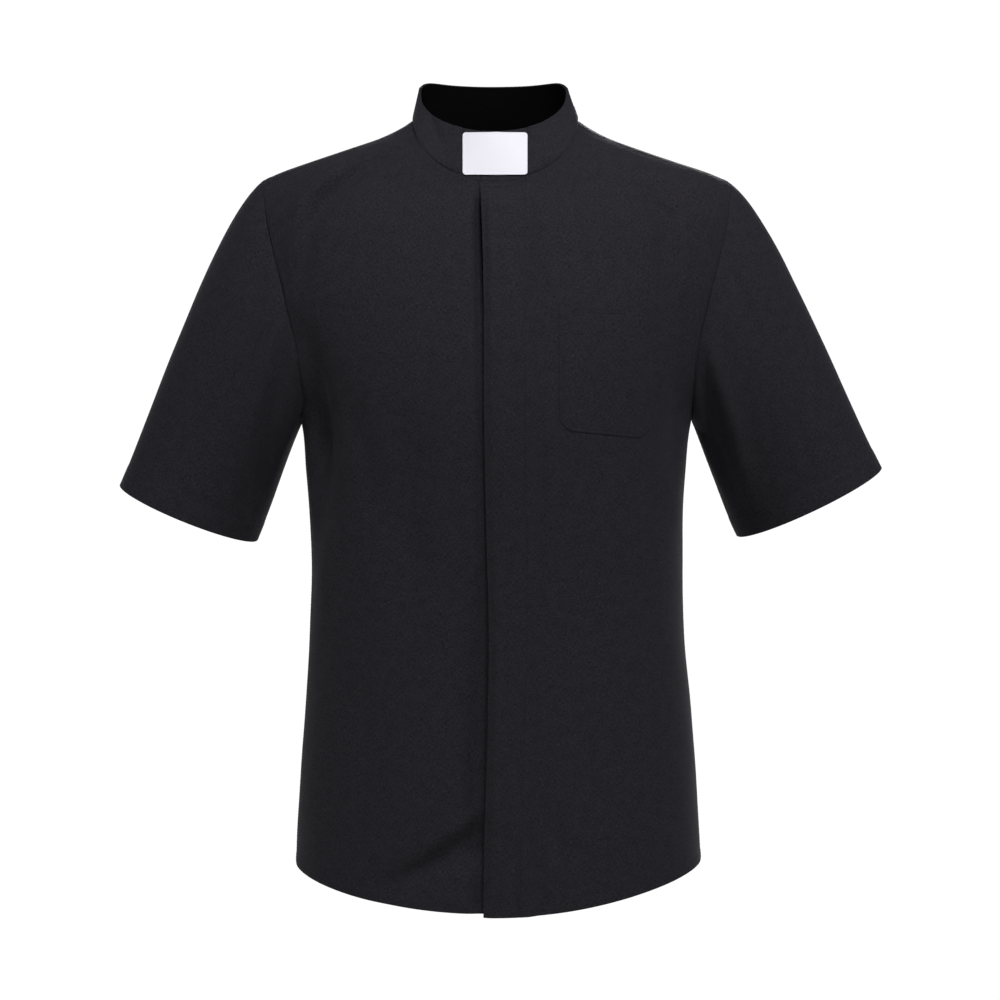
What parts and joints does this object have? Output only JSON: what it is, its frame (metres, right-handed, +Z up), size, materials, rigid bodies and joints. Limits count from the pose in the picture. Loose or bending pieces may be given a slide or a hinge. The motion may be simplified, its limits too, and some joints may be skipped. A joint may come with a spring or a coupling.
{
  "type": "clergy shirt",
  "caption": "Black short-sleeved clergy shirt with a banded collar, white tab, fly front, chest pocket and curved shirt-tail hem, filled out as worn.",
  "frame": {"origin": "midway between the two points where the shoulder ridges meet the collar, where the wearer's shoulders hold the shirt up", "axes": "+X to the wearer's left, -Y to the front, +Y to the back, +Z up"},
  "size_m": [0.7425, 0.2519, 0.8039],
  "materials": {
    "black_shirting": "matt plain-weave polyester-cotton shirting, black with a slight violet cast",
    "white_tab": "smooth satin white",
    "black_button": "polished"
  },
  "bodies": {
    "root": {"front_right": "black_shirting", "front_left": "black_shirting", "back": "black_shirting", "yoke": "black_shirting", "sleeve_right": "black_shirting", "sleeve_left": "black_shirting", "fly_band": "black_shirting", "button_1": "black_button", "button_2": "black_button", "button_3": "black_button", "button_4": "black_button", "button_5": "black_button", "button_6": "black_button", "neckband": "black_shirting", "collar": "black_shirting", "tab": "white_tab", "pocket": "black_shirting"}
  },
  "joints": []
}
